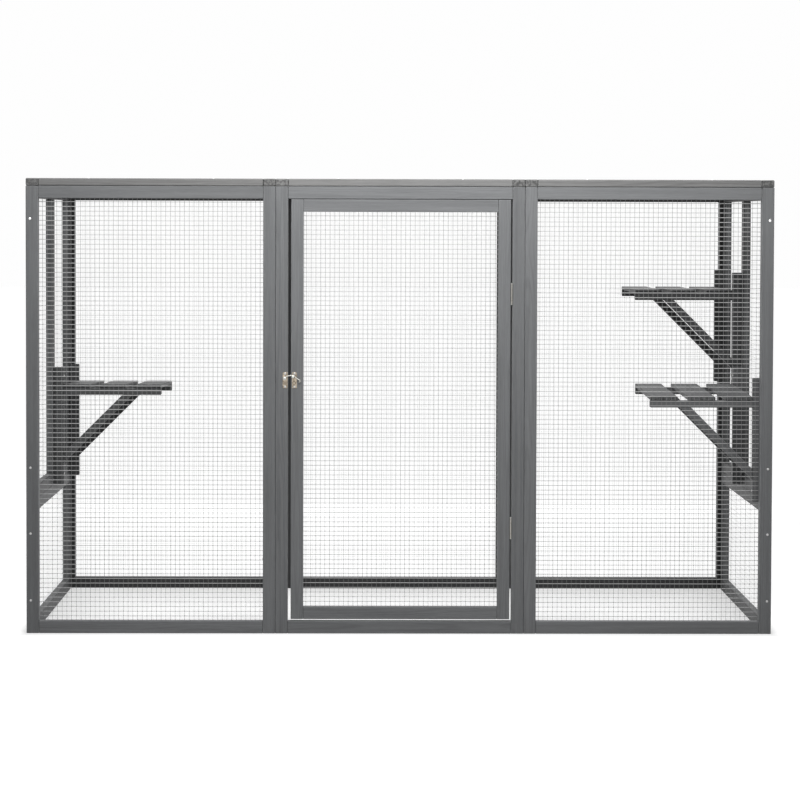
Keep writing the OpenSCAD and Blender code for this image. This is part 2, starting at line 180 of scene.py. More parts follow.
def finished(mesh, name, material, node, body, smooth=False):
    """An object from a bmesh that stands for a CAD node and rides on its body."""
    bmesh.ops.recalc_face_normals(mesh, faces=mesh.faces)
    data = bpy.data.meshes.new(name)
    mesh.to_mesh(data)
    mesh.free()
    data.materials.append(material)
    data.polygons.foreach_set("use_smooth", [smooth] * len(data.polygons))
    piece = bpy.data.objects.new(name, data)
    bpy.context.scene.collection.objects.link(piece)
    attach(piece, body)
    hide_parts(node)
    return piece


def boards_with_painted_shade(node, material, body="enclosure", rounding=EDGE_ROUND):
    """The planed boards that stand for a CAD node of straight boards."""
    chance = random.Random(node)
    mesh = bmesh.new()
    for part in parts_of(node):
        add_board(mesh, *box_of(part), chance, rounding=rounding)
    finished(mesh, node + "_planed", material, node, body)


def node_in(tree, kind, inputs=(), **settings):
    """A shader node with its settings, and with values or links on its inputs."""
    node = tree.nodes.new(kind)
    for key, value in settings.items():
        setattr(node, key, value)
    for key, value in dict(inputs).items():
        if isinstance(value, bpy.types.NodeSocket):
            tree.links.new(value, node.inputs[key])
        else:
            node.inputs[key].default_value = value
    return node


def maths(tree, operation, first, second=0.0, clamp=False):
    """The output of a Math node."""
    return node_in(tree, "ShaderNodeMath", {0: first, 1: second}, operation=operation,
                   use_clamp=clamp).outputs[0]


def plus(tree, first, second):
    """The sum of two values."""
    return maths(tree, "ADD", first, second)


def minus(tree, first, second):
    """The first value less the second."""
    return maths(tree, "SUBTRACT", first, second)


def times(tree, first, second):
    """The product of two values."""
    return maths(tree, "MULTIPLY", first, second)


def ramp(tree, value, low, high):
    """Value spread smoothly over 0 to 1 between two limits."""
    return node_in(tree, "ShaderNodeMapRange", {"Value": value, "From Min": low, "From Max": high},
                   interpolation_type="SMOOTHSTEP").outputs["Result"]


def vector_maths(tree, operation, first, second=(0, 0, 0)):
    """The vector output of a Vector Math node."""
    return node_in(tree, "ShaderNodeVectorMath", {0: first, 1: second}, operation=operation).outputs[0]


def scaled(tree, colour, gain):
    """A colour made lighter or darker by a value."""
    return node_in(tree, "ShaderNodeVectorMath", {0: colour, "Scale": gain}, operation="SCALE").outputs[0]


def attribute(tree, name, kind):
    """What the mesh's points or faces hold under a name."""
    return node_in(tree, "ShaderNodeAttribute", attribute_name=name).outputs[kind]


def stretched(tree, vector, cells):
    """Places counted in cells a metre, which are long where the count is low."""
    return node_in(tree, "ShaderNodeMapping", {"Vector": vector, "Scale": cells}).outputs[0]


def stretched_noise(tree, vector, cells, detail, roughness=0.5, kind="Fac"):
    """Noise whose cells are drawn out along the board."""
    return node_in(tree, "ShaderNodeTexNoise", {"Vector": stretched(tree, vector, cells), "Scale": 1.0,
                                                "Detail": detail, "Roughness": roughness}).outputs[kind]


def first_channel(tree, colour):
    """The red of a colour, as a value."""
    return node_in(tree, "ShaderNodeSeparateColor", {"Color": colour}).outputs[0]


def swing(tree, noise, amount):
    """Noise made to swing about zero by an amount."""
    return times(tree, minus(tree, noise, 0.5), amount)


def new_group(name, inputs, outputs):
    """A shader node group with named values, and the sockets that bring them in and take them out."""
    tree = bpy.data.node_groups.new(name, "ShaderNodeTree")
    for label, value in inputs.items():
        socket = tree.interface.new_socket(label, in_out="INPUT", socket_type="NodeSocketFloat")
        socket.default_value = value
    for label in outputs:
        tree.interface.new_socket(label, in_out="OUTPUT", socket_type="NodeSocketFloat")
    return tree, tree.nodes.new("NodeGroupInput").outputs, tree.nodes.new("NodeGroupOutput").inputs


# Cells a metre, along the board and then across and through it.
DRIFT_CELLS = (1.1, 5, 5)
FIBRE_CELLS = (22, 620, 620)
STREAK_CELLS = (1.8, 75, 75)
PATCH_CELLS = (2.2, 11, 11)
KNOT_CELLS = (2.1, 8.5, 8.5)
SCUFF_CELLS = (14, 60, 60)
PORE_CELLS = 110.0
# The Wave texture turns through 20 radians a metre at a scale of 1.
WAVES_A_METRE = 20 / (2 * math.pi)
# The year rings in metres, and the limits between which each feature sets in.
RING_SPACING = 0.0036
RING_DRIFT = 0.03
LATE_WOOD = (0.45, 0.98)
CLEAR_CELLS = 0.55
KNOT_RADII = (0.035, 0.085)
KNOT_STRENGTH = 0.5
WORN_AND_SHEEN_EDGE = (0.0006, 0.0042)
WORN_SCUFFS = (0.35, 0.7)
OPEN_PORES = (0.38, 0.6)
# How much each of them lightens or darkens the stain. The seams' darkening is painted shade,
# and the worn edges' lightening is partly a painted highlight.
STAIN_BASE = 1.05
STREAK_SHADE = 0.55
FIBRE_SHADE = 0.5
PATCH_SHADE = 0.28
RING_SHADE = 0.11
KNOT_SHADE = 0.35
END_SHADE = 0.1
PORE_SHADE = 0.5
WEAR_AND_SHEEN_SHADE = 0.45
SEAM_SHADE = 0.95
# How much each of them raises or lowers the surface, and how much drier it makes the wood.
RING_RELIEF = 0.5
FIBRE_RELIEF = 0.8
KNOT_RELIEF = 0.4
STREAK_DRYNESS = 0.7
END_DRYNESS = 0.5
DAMP_ROUGHNESS = 0.44
DRY_ROUGHER = 0.2

softwood, taken, given = new_group(
    "stained softwood", {"Grain Depth": 1.0, "Board Difference": 0.06, "Edge Wear and Sheen": 0.5},
    ("Shade", "Height", "Dryness"))
grain = attribute(softwood, "grain", "Vector")
drift = stretched_noise(softwood, grain, DRIFT_CELLS, 2.0, kind="Color")
drift = vector_maths(softwood, "SUBTRACT", drift, (0.5, 0.5, 0.5))
drift = vector_maths(softwood, "MULTIPLY", drift, (0, RING_DRIFT, RING_DRIFT))
bent = vector_maths(softwood, "ADD", grain, drift)
rings = node_in(softwood, "ShaderNodeTexWave", {"Vector": bent, "Scale": 1 / (WAVES_A_METRE * RING_SPACING)},
                wave_type="RINGS", rings_direction="X").outputs["Fac"]
late_wood = ramp(softwood, rings, *LATE_WOOD)
fibres = stretched_noise(softwood, grain, FIBRE_CELLS, 3.0, 0.6)
streaks = stretched_noise(softwood, grain, STREAK_CELLS, 3.0, 0.6)
patches = stretched_noise(softwood, grain, PATCH_CELLS, 2.0)
knot_places = stretched(softwood, grain, KNOT_CELLS)
cell = node_in(softwood, "ShaderNodeTexVoronoi", {"Vector": knot_places, "Scale": 1.0}).outputs
knot_here = maths(softwood, "GREATER_THAN", first_channel(softwood, cell["Color"]), CLEAR_CELLS)
knots = minus(softwood, 1.0, ramp(softwood, cell["Distance"], *KNOT_RADII))
knots = times(softwood, times(softwood, knots, knot_here), KNOT_STRENGTH)

# How far a point lies from the board's nearest edge.
inset = vector_maths(softwood, "ABSOLUTE", attribute(softwood, "place", "Vector"))
inset = vector_maths(softwood, "SUBTRACT", attribute(softwood, "half", "Vector"), inset)
inset = node_in(softwood, "ShaderNodeSeparateXYZ", {0: inset}).outputs
to_side = maths(softwood, "MAXIMUM", inset[1], inset[2])
to_end = maths(softwood, "MAXIMUM", inset[0], maths(softwood, "MINIMUM", inset[1], inset[2]))
# Edges lighter in scuffed patches: partly wear, partly a painted highlight on the eased edges.
edge = minus(softwood, 1.0, ramp(softwood, maths(softwood, "MINIMUM", to_side, to_end), *WORN_AND_SHEEN_EDGE))
scuffs = ramp(softwood, stretched_noise(softwood, grain, SCUFF_CELLS, 4.0, 0.65), *WORN_SCUFFS)
worn_and_sheen = times(softwood, times(softwood, edge, scuffs), taken["Edge Wear and Sheen"])

shade = swing(softwood, streaks, STREAK_SHADE)
shade = plus(softwood, shade, swing(softwood, fibres, FIBRE_SHADE))
shade = plus(softwood, shade, swing(softwood, patches, PATCH_SHADE))
shade = minus(softwood, shade, times(softwood, late_wood, RING_SHADE))
shade = times(softwood, shade, taken["Grain Depth"])
tone = attribute(softwood, "tone", "Fac")
shade = plus(softwood, shade, times(softwood, tone, taken["Board Difference"]))
shade = minus(softwood, shade, times(softwood, knots, KNOT_SHADE))
end_grain = attribute(softwood, "end", "Fac")
pores = node_in(softwood, "ShaderNodeTexNoise", {"Vector": grain, "Scale": PORE_CELLS, "Detail": 3.0})
pores = times(softwood, ramp(softwood, pores.outputs["Fac"], *OPEN_PORES), PORE_SHADE)
shade = minus(softwood, shade, times(softwood, end_grain, plus(softwood, END_SHADE, pores)))
shade = plus(softwood, plus(softwood, shade, times(softwood, worn_and_sheen, WEAR_AND_SHEEN_SHADE)), STAIN_BASE)
# Painted shade in the grooves where a board meets another.
painted_seam_shade = times(softwood, attribute(softwood, "painted_seam_shade", "Fac"), SEAM_SHADE)
softwood.links.new(times(softwood, shade, minus(softwood, 1.0, painted_seam_shade)), given["Shade"])
relief = plus(softwood, times(softwood, late_wood, RING_RELIEF), times(softwood, fibres, FIBRE_RELIEF))
softwood.links.new(minus(softwood, relief, times(softwood, knots, KNOT_RELIEF)), given["Height"])
dry_streaks = times(softwood, streaks, STREAK_DRYNESS)
softwood.links.new(plus(softwood, dry_streaks, times(softwood, end_grain, END_DRYNESS)), given["Dryness"])


def stained(name, colour, depth=1.0, difference=0.06, wear_and_sheen=0.5):
    """Grey stained softwood: one coat of thin stain that lets the grain through."""
    material = bpy.data.materials.new(name)
    material.use_nodes = True
    tree = material.node_tree
    skin = tree.nodes["Principled BSDF"]
    skin.inputs["Specular IOR Level"].default_value = 0.25
    wood = node_in(tree, "ShaderNodeGroup", node_tree=softwood)
    wood.inputs["Grain Depth"].default_value = depth
    wood.inputs["Board Difference"].default_value = difference
    wood.inputs["Edge Wear and Sheen"].default_value = wear_and_sheen
    tree.links.new(scaled(tree, colour, wood.outputs["Shade"]), skin.inputs["Base Color"])
    rough = plus(tree, times(tree, wood.outputs["Dryness"], DRY_ROUGHER), DAMP_ROUGHNESS)
    tree.links.new(rough, skin.inputs["Roughness"])
    bump = node_in(tree, "ShaderNodeBump", {"Strength": 0.35, "Distance": 0.0006,
                                            "Height": wood.outputs["Height"]})
    tree.links.new(bump.outputs[0], skin.inputs["Normal"])
    return material


STAIN = (0.158, 0.162, 0.166)
wall_stain = stained("grey stained wall boards", STAIN)
for side in PANELS:
    boards_with_painted_shade(f"front_{side}_stiles", wall_stain)
    boards_with_painted_shade(f"front_{side}_rails", wall_stain)

# Back wall. Three frames like the front ones, with a net in each. Their faces towards the
# room are darkened with painted shade, deepest under the roof.
BACK_PAINTED_SHADE = (0.74, 0.96)
PAINTED_SHADE_HEIGHTS = (0.5, 1.75)
FACING_THE_ROOM = -0.2


def here_in(tree):
    """The X, Y and Z of a point of a piece."""
    return node_in(tree, "ShaderNodeSeparateXYZ", {
        0: node_in(tree, "ShaderNodeTexCoord").outputs["Object"]}).outputs


def rising(tree, heights, low_value, high_value):
    """One value up to the first height, and another from the second one on."""
    rise = ramp(tree, here_in(tree)["Z"], *heights)
    return plus(tree, low_value, times(tree, rise, high_value - low_value))


def paint_room_shade(material, axis, shares):
    """Paints shade onto the faces that look along an axis towards the room, by one share low down
    and another high up."""
    tree = material.node_tree
    facing = node_in(tree, "ShaderNodeSeparateXYZ", {
        0: node_in(tree, "ShaderNodeNewGeometry").outputs["True Normal"]}).outputs[axis]
    inner = maths(tree, "LESS_THAN", times(tree, facing, here_in(tree)[axis]), FACING_THE_ROOM)
    room_shade = minus(tree, 1.0, times(tree, inner, rising(tree, PAINTED_SHADE_HEIGHTS, *shares)))
    tint = next(node for node in tree.nodes if node.type == "VECT_MATH")
    shade = tint.inputs["Scale"].links[0].from_socket
    tree.links.new(times(tree, shade, room_shade), tint.inputs["Scale"])


back_stain_and_shade = stained("grey stained back boards", STAIN)
paint_room_shade(back_stain_and_shade, "Y", BACK_PAINTED_SHADE)
for side in PANELS:
    boards_with_painted_shade(f"back_{side}_stiles", back_stain_and_shade)
    boards_with_painted_shade(f"back_{side}_rails", back_stain_and_shade)

# Side walls. A low frame stands below a tall one, and the tall one has a middle stile. They
# fit between the front and back walls and are screwed to them.
# Each frame's grey carries painted shade: the tall frames darker than the low ones, and the right wall darker
# than the left. Their faces towards the room get more painted shade, deepest under the roof.
SIDE_PAINTED_SHADES = {"left_lower": 0.155, "left_upper": 0.12, "right_lower": 0.16, "right_upper": 0.09}
SIDE_PAINTED_SHADE = (0.45, 0.85)


def cool_grey(shade):
    """A grey with a touch of blue."""
    return (shade * 0.98, shade, shade * 1.02)


for wall, shade in SIDE_PAINTED_SHADES.items():
    side_stain_and_shade = stained(f"grey stained {wall} boards", cool_grey(shade))
    paint_room_shade(side_stain_and_shade, "X", SIDE_PAINTED_SHADE)
    boards_with_painted_shade(f"{wall}_stiles", side_stain_and_shade)
    boards_with_painted_shade(f"{wall}_rails", side_stain_and_shade)

# Roof. Three flat frames lie on the walls. Their side boards run from front to back, so
# that their end grain shows along the roof's front edge.
# Each frame's grey carries painted light: the middle frame lightest and the left one darkest.
ROOF_PAINTED_LIGHT = {"left": 0.165, "centre": 0.2, "right": 0.18}
ROOF_EDGE_ROUND = 0.0045

for side, shade in ROOF_PAINTED_LIGHT.items():
    grey = (shade, shade, shade * 0.99)
    roof_stain_and_light = stained(f"grey stained {side} roof boards", grey, depth=1.1, wear_and_sheen=0.7)
    boards_with_painted_shade(f"roof_{side}_sides", roof_stain_and_light, rounding=ROOF_EDGE_ROUND)
    boards_with_painted_shade(f"roof_{side}_ends", roof_stain_and_light, rounding=ROOF_EDGE_ROUND)

# Door. A frame like the others, hung in the middle doorway with a narrow gap all round. Its
# boards differ less from each other than the walls' boards do.
door_stain = stained("grey stained door boards", STAIN, difference=0.03)
boards_with_painted_shade("door_stiles", door_stain, "door")
boards_with_painted_shade("door_rails", door_stain, "door")

# Shelves. Three planks are screwed across two brackets, and slope where one bracket sits
# higher. A bracket is a leg on the side wall, an arm, and a brace cut to 45 degrees.
# Each shelf's grey carries painted shade, the high right one darkest. The rear legs get more painted shade,
# and the rear braces a deeper painted shadow.
SHELF_PAINTED_SHADES = {"left": 0.074, "right_low": 0.108, "right_high": 0.042}
REAR_LEG_PAINTED_SHADE = 2.0
REAR_BRACE_PAINTED_SHADOW = 7.0
BOARD_AT_MOST_WIDE = 0.1


def add_brace(mesh, part, chance, painted_shade):
    """A brace at 45 degrees, cut upright along the leg and level under the arm."""
    low, high = box_of(part)
    slant = 1 if low.x > 0 else -1
    square = Vector((slant, 0, 1)).normalized()
    width = max(p.dot(square) for p in part) - min(p.dot(square) for p in part)
    centre = sum(part, Vector()) / len(part)
    turn = Matrix.Translation(centre) @ Matrix.Rotation(slant * math.pi / 4, 4, "Y")
    back = turn.inverted()
    at_leg = Vector((high.x if slant > 0 else low.x, centre.y, centre.z))
    at_arm = Vector((centre.x, centre.y, high.z))
    cuts = [(back @ at_leg, back.to_3x3() @ Vector((slant, 0, 0))),
            (back @ at_arm, back.to_3x3() @ Vector((0, 0, 1)))]
    half = Vector(((high - low).length, (high - low).y / 2, width / 2))
    add_board(mesh, -half, half, chance, cuts, turn, painted_shade=painted_shade)


for shelf, shade in SHELF_PAINTED_SHADES.items():
    shelf_stain_and_shade = stained(f"grey stained {shelf} shelf boards", cool_grey(shade), depth=1.15, difference=0.08)
    brackets = f"{shelf}_shelf_brackets"
    planks = f"{shelf}_shelf_planks"
    legs = sorted((box_of(part) for part in parts_of(brackets)), key=lambda box: box[0].z - box[1].z)[:2]
    front, rear = sorted((sum(leg, Vector()) / 2 for leg in legs), key=lambda middle: middle.y)
    slope = Matrix.Rotation(math.atan2(rear.z - front.z, rear.y - front.y), 4, "X")
    chance = random.Random(planks)
    mesh = bmesh.new()
    for part in parts_of(planks):
        add_board(mesh, *box_of([slope.inverted() @ corner for corner in part]), chance, turn=slope)
    finished(mesh, planks + "_planed", shelf_stain_and_shade, planks, "enclosure")
    chance = random.Random(brackets)
    mesh = bmesh.new()
    for part in parts_of(brackets):
        low, high = box_of(part)
        middle = (low + high).y / 2
        at_rear = abs(middle - rear.y) < abs(middle - front.y)
        if (high - low).x < BOARD_AT_MOST_WIDE:
            add_board(mesh, low, high, chance, painted_shade=REAR_LEG_PAINTED_SHADE if at_rear else 0)
        elif (high - low).z < BOARD_AT_MOST_WIDE:
            add_board(mesh, low, high, chance)
        else:
            add_brace(mesh, part, chance, REAR_BRACE_PAINTED_SHADOW if at_rear else 0)
    finished(mesh, brackets + "_planed", shelf_stain_and_shade, brackets, "enclosure")

# Nets. Welded wire with a 19 mm square mesh, stapled to the frames: behind the front and back
# ones, outside the side ones and under the roof. Level wires are welded across upright ones.
MESH_PITCH = 0.019
WIRE_RADIUS = 0.0006
FRONT_UPRIGHT_RADIUS = 0.00068
FRONT_LEVEL_RADIUS = 0.00115
PRESSED_INTO_WELD = 0.99
STAPLE_EVERY = 5
STAPLE_INSET = 0.0075
STAPLE_HALF_WIDE = 0.0045
STAPLE_DEEP = 0.006
STAPLE_CLEAR = 0.0003
STAPLE_LEG_RADIUS = 0.0005
STAPLE_CROWN_RADIUS = 0.0006


def add_wire(mesh, start, end, radius, sides=6, slot=0):
    """A straight round wire between two points, with the finish in one of its net's slots."""
    run = end - start
    place = Matrix.LocRotScale((start + end) / 2, run.to_track_quat("Z", "Y"), None)
    wire = bmesh.ops.create_cone(mesh, cap_ends=True, segments=sides, radius1=radius, radius2=radius,
                                 depth=run.length, matrix=place)["verts"]
    for vert in wire:
        for face in vert.link_faces:
            face.material_index = slot


def add_staple(mesh, spot, across, through, crown, tip):
    """A staple over a wire, with its crown and its legs' tips at two depths."""
    tops = []
    for step in (-STAPLE_HALF_WIDE, STAPLE_HALF_WIDE):
        top = spot.copy()
        top[across] += step
        top[through] = crown
        foot = top.copy()
        foot[through] = tip
        add_wire(mesh, top, foot, STAPLE_LEG_RADIUS, sides=4)
        tops.append(top)
    add_wire(mesh, *tops, STAPLE_CROWN_RADIUS, sides=4)


def netting(node, finishes, wood_side, upright_radius=WIRE_RADIUS, level_radius=WIRE_RADIUS,
            body="enclosure"):
    """A welded net in the place of a CAD net; wood_side is 1 where the wood is on its higher side.
    Its level wires have the first finish and its upright ones the last."""
    low, high = (Vector(corner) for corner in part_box(node))
    through = min(range(3), key=lambda i: high[i] - low[i])
    upright = 1 if through == 2 else 2
    level = ({0, 1, 2} - {through, upright}).pop()
    wood = high[through] if wood_side > 0 else low[through]
    crown = wood - wood_side * (2 * (upright_radius + level_radius) + STAPLE_CLEAR)
    tip = wood + wood_side * STAPLE_DEEP
    mesh = bmesh.new()
    for along, across, radius, depth, slot in (
            (upright, level, upright_radius, upright_radius, len(finishes) - 1),
            (level, upright, level_radius, 2 * upright_radius + level_radius, 0)):
        count = int((high[across] - low[across]) / 2 / MESH_PITCH)
        for i in range(-count, count + 1):
            start = (low + high) / 2
            start[through] = wood - wood_side * depth * PRESSED_INTO_WELD
            start[across] += i * MESH_PITCH
            end = start.copy()
            start[along] = low[along]
            end[along] = high[along]
            add_wire(mesh, start, end, radius, slot=slot)
            if i % STAPLE_EVERY == 0:
                for border in (low[along] + STAPLE_INSET, high[along] - STAPLE_INSET):
                    start[along] = border
                    add_staple(mesh, start, across, through, crown, tip)
    net = finished(mesh, node + "_welded", finishes[0], node, body)
    for finish in finishes[1:]:
        net.data.materials.append(finish)


CLOUD_SCALE = 9.0
ROUGH_SPREAD = 0.2
spangle, taken, given = new_group("zinc spangle", {"Scale": 400.0}, ("Spots", "Cloud"))
here = node_in(spangle, "ShaderNodeTexCoord").outputs["Object"]
crystals = node_in(spangle, "ShaderNodeTexVoronoi", {"Vector": here, "Scale": taken["Scale"]})
spangle.links.new(first_channel(spangle, crystals.outputs["Color"]), given["Spots"])
cloud = node_in(spangle, "ShaderNodeTexNoise", {"Vector": here, "Scale": CLOUD_SCALE, "Detail": 3.0})
spangle.links.new(cloud.outputs["Fac"], given["Cloud"])


def zinc(name, dark, light, rough, scale):
    """Zinc-coated steel with small crystals and a cloudy film."""
    material = bpy.data.materials.new(name)
    material.use_nodes = True
    tree = material.node_tree
    skin = tree.nodes["Principled BSDF"]
    skin.inputs["Metallic"].default_value = 1.0
    zinc_coat = node_in(tree, "ShaderNodeGroup", node_tree=spangle)
    zinc_coat.inputs["Scale"].default_value = scale
    mixed = plus(tree, times(tree, zinc_coat.outputs["Spots"], 0.5),
                 times(tree, zinc_coat.outputs["Cloud"], 0.5))
    colour = node_in(tree, "ShaderNodeMix", {"Factor": mixed}, data_type="RGBA")
    colour.inputs["A"].default_value = (*dark, 1)
    colour.inputs["B"].default_value = (*light, 1)
    tree.links.new(next(s for s in colour.outputs if s.type == "RGBA"), skin.inputs["Base Color"])
    rough = plus(tree, times(tree, mixed, ROUGH_SPREAD), rough - ROUGH_SPREAD / 2)
    tree.links.new(rough, skin.inputs["Roughness"])
    return material


def paint_light_with_height(material, heights, low_gain, high_gain):
    """Paints light onto a metal: scales its colour by one gain below a height and another above a second."""
    tree = material.node_tree
    colour = tree.nodes["Principled BSDF"].inputs["Base Color"]
    gain = rising(tree, heights, low_gain, high_gain)
    tree.links.new(scaled(tree, colour.links[0].from_socket, gain), colour)


# Painted light on the front wires: the level ones lighter, as lit from above, and the upright ones darker;
# both get lighter higher up.
WIRE_HEIGHTS = (0.3, 1.1)
lit_level_wire = zinc("galvanised level wire, painted lit", (0.4, 0.404, 0.408), (0.52, 0.52, 0.516), 0.45, 700.0)
paint_light_with_height(lit_level_wire, WIRE_HEIGHTS, 0.85, 1.06)
shaded_upright_wire = zinc("galvanised upright wire, painted shaded", (0.22, 0.222, 0.224), (0.34, 0.34, 0.338), 0.5, 700.0)
paint_light_with_height(shaded_upright_wire, WIRE_HEIGHTS, 0.7, 0.88)
# The back, side and roof nets are painted far lighter than the front ones, standing in for the light behind
# them.
backlit_wire = zinc("galvanised wire, painted backlit", (0.9, 0.905, 0.91), (0.98, 0.98, 0.97), 0.34, 700.0)
for side in PANELS:
    netting(f"back_{side}_net", (backlit_wire,), -1)
for wall in SIDE_PAINTED_SHADES:
    netting(f"{wall}_net", (backlit_wire,), 1 if wall.startswith("left") else -1)
for side in PANELS:
    netting(f"roof_{side}_net", (backlit_wire,), 1)
for node, body in (("front_left_net", "enclosure"), ("front_right_net", "enclosure"), ("door_net", "door")):
    netting(node, (lit_level_wire, shaded_upright_wire), -1, FRONT_UPRIGHT_RADIUS, FRONT_LEVEL_RADIUS, body)

# Hinges. Two butt hinges with their leaves on the edges of the stile and the door, so that
# only the barrels show in the gap. Plated steel with a warm, slightly dull finish.
hinge_plate = zinc("plated hinge", (0.22, 0.212, 0.19), (0.48, 0.465, 0.43), 0.36, 300.0)
pin_plate = zinc("plated hinge pin", (0.75, 0.74, 0.71), (0.88, 0.87, 0.85), 0.3, 300.0)
for place in ("upper", "lower"):
    for piece, plate in (("frame_leaf", hinge_plate), ("door_leaf", hinge_plate), ("pin", pin_plate)):
        slots = frame["nodes"][f"{place}_hinge_{piece}"].data.materials
        slots.clear()
        slots.append(plate)

# Latch. A swinging hook on the frame's plate drops over the post of the door's plate. The
# plates and the post are stamped and riveted, and the hook is one bent rod with an eye.
PLATE_WIDE = 0.02
PLATE_THICK = 0.002
PLATE_CORNER_ROUND = 0.005
PLATE_RIM_ROUND = 0.0006
# Each node's body, and the radius and height of the foot of its stud.
LATCH_PLATES = {"latch_plate": ("enclosure", 0.004, 0.0032), "latch_keeper": ("door", 0.0036, 0.001)}
SAME_LEVEL = 1e-5
FOOT_SUNK = 0.0005
FOOT_ROUND = 0.0004
# The stud's radii, and how far each lies below its top.
STUD_HEAD = [(0.003, 0.0026), (0.0051, 0.0025), (0.0055, 0.002), (0.0052, 0.0011), (0.0038, 0.0004),
             (0.0016, 0), (0, 0)]
ROD_RADIUS = 0.00225
EYE_RADIUS = 0.0054
# The rod's bends to the right of the pivot and above it.
HOOK_BENDS = [(0.0035, 0.0035), (0.010, 0.009), (0.023, 0.0112), (0.035, 0.0117), (0.046, 0.002),
              (0.059, -0.0065), (0.0625, -0.012), (0.056, -0.016)]
STEPS_A_BEND = 5
# How much of its radius the rod keeps at its last rings, from the tip back.
TIP_SHARES = (0.55, 0.9)
plate_metal = zinc("latch plates", (0.08, 0.067, 0.048), (0.62, 0.53, 0.42), 0.3, 150.0)
stud_metal = zinc("latch studs", (0.4, 0.41, 0.38), (0.56, 0.57, 0.54), 0.42, 300.0)
hook_metal = zinc("latch hook", (0.32, 0.315, 0.29), (0.5, 0.49, 0.46), 0.32, 300.0)


def add_turned(mesh, centre, profile, sides=24):
    """A part turned on an axis along Y: profile gives radius and distance from the back."""
    turned = bmesh.new()
    line = [turned.verts.new((radius, -depth, 0)) for radius, depth in profile]
    edges = [turned.edges.new(pair) for pair in zip(line, line[1:])]
    bmesh.ops.spin(turned, geom=line + edges, cent=(0, 0, 0), axis=(0, 1, 0), dvec=(0, 0, 0),
                   angle=2 * math.pi, steps=sides, use_merge=True, use_duplicate=False)
    bmesh.ops.remove_doubles(turned, verts=turned.verts, dist=1e-7)
    bmesh.ops.translate(turned, vec=centre, verts=turned.verts)
    for face in turned.faces:
        face.material_index = 1
    add_to(mesh, turned)


def curve_through(points, steps):
    """A smooth path through some points, in so many steps from each to the next."""
    ends = [points[0], *points, points[-1]]
    path = []
    for a, b, c, d in zip(ends, ends[1:], ends[2:], ends[3:]):
        for step in range(steps):
            s = step / steps
            path.append(0.5 * (2 * b + (c - a) * s + (2 * a - 5 * b + 4 * c - d) * s ** 2
                               + (3 * b - a - 3 * c + d) * s ** 3))
    return path + [points[-1]]


for node, (body, foot, step) in LATCH_PLATES.items():
    low, high = (Vector(corner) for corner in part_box(node))
    front = [v.co for v in frame["nodes"][node].data.vertices if v.co.y < low.y + SAME_LEVEL]
    face = high.y - PLATE_THICK
    left = low.x if node == "latch_plate" else high.x - PLATE_WIDE
    mesh = bmesh.new()
    sheet = bmesh.new()
    bmesh.ops.create_cube(sheet, size=1.0, matrix=Matrix.LocRotScale(
        Vector((left + PLATE_WIDE / 2, high.y - PLATE_THICK / 2, (low.z + high.z) / 2)), None,
        Vector((PLATE_WIDE, PLATE_THICK, high.z - low.z))))
    corners = [e for e in sheet.edges if abs(e.verts[0].co.y - e.verts[1].co.y) > PLATE_THICK / 2]
    bmesh.ops.bevel(sheet, geom=corners, offset=PLATE_CORNER_ROUND, segments=5, profile=0.5,
                    affect="EDGES", material=-1)
    rims = [e for e in sheet.edges if all(abs(v.co.y - face) < SAME_LEVEL for v in e.verts)]
    bmesh.ops.bevel(sheet, geom=rims, offset=PLATE_RIM_ROUND, segments=2, profile=0.5,
                    affect="EDGES", material=-1)
    add_to(mesh, sheet)
    tall = face - low.y
    centre = sum(box_of(front), Vector()) / 2
    centre.y = face
    neck = STUD_HEAD[0][0]
    profile = [(foot, -FOOT_SUNK), (foot, step - FOOT_ROUND), (foot - FOOT_ROUND, step), (neck, step)]
    profile += [(radius, tall - below) for radius, below in STUD_HEAD]
    add_turned(mesh, centre, profile)
    finished(mesh, node + "_stamped", plate_metal, node, body).data.materials.append(stud_metal)

hook_swing = next(joint for joint in frame["joints"] if joint["name"] == "hook_lift")
hook_pivot = Vector(hook_swing["pos_m"])
mesh = bmesh.new()
eye = bmesh.ops.create_circle(mesh, segments=12, radius=ROD_RADIUS, matrix=Matrix.Translation(
    hook_pivot + Vector((EYE_RADIUS, 0, 0))))["verts"]
bmesh.ops.spin(mesh, geom=eye + list({e for v in eye for e in v.link_edges}), cent=hook_pivot,
               axis=(0, 1, 0), dvec=(0, 0, 0), angle=2 * math.pi, steps=24, use_merge=True,
               use_duplicate=False)
bmesh.ops.remove_doubles(mesh, verts=mesh.verts, dist=1e-7)
path = [hook_pivot + point
        for point in curve_through([Vector((x, 0, z)) for x, z in HOOK_BENDS], STEPS_A_BEND)]
rod = bmesh.new()
ring = bmesh.ops.create_circle(rod, segments=12, radius=ROD_RADIUS)["verts"]
circle = [vert.co.copy() for vert in ring]
edges = rod.edges[:]
axis = Vector((0, 1, 0))
for i, point in enumerate(path):
    to_tip = len(path) - 1 - i
    ahead = (path[min(i + 1, len(path) - 1)] - path[max(i - 1, 0)]).normalized()
    if i:
        made = bmesh.ops.extrude_edge_only(rod, edges=edges)["geom"]
        ring = [g for g in made if isinstance(g, bmesh.types.BMVert)]
        edges = [g for g in made if isinstance(g, bmesh.types.BMEdge)]
    share = TIP_SHARES[to_tip] if to_tip < len(TIP_SHARES) else 1.0
    for vert, flat in zip(ring, circle):
        vert.co = point + (ahead.cross(axis) * flat.x + axis * flat.y) * share
bmesh.ops.holes_fill(rod, edges=[e for e in rod.edges if e.is_boundary])
add_to(mesh, rod)
finished(mesh, "latch_hook_bent", hook_metal, "latch_hook", "hook", smooth=True)

# Screws. Zinc-plated pan heads with a cross recess hold the panels, the brackets and the
# planks, and smaller flat ones hold the hinges and the latch.
RIM_DEPTH = 0.0004
HEAD_SIDES = 16
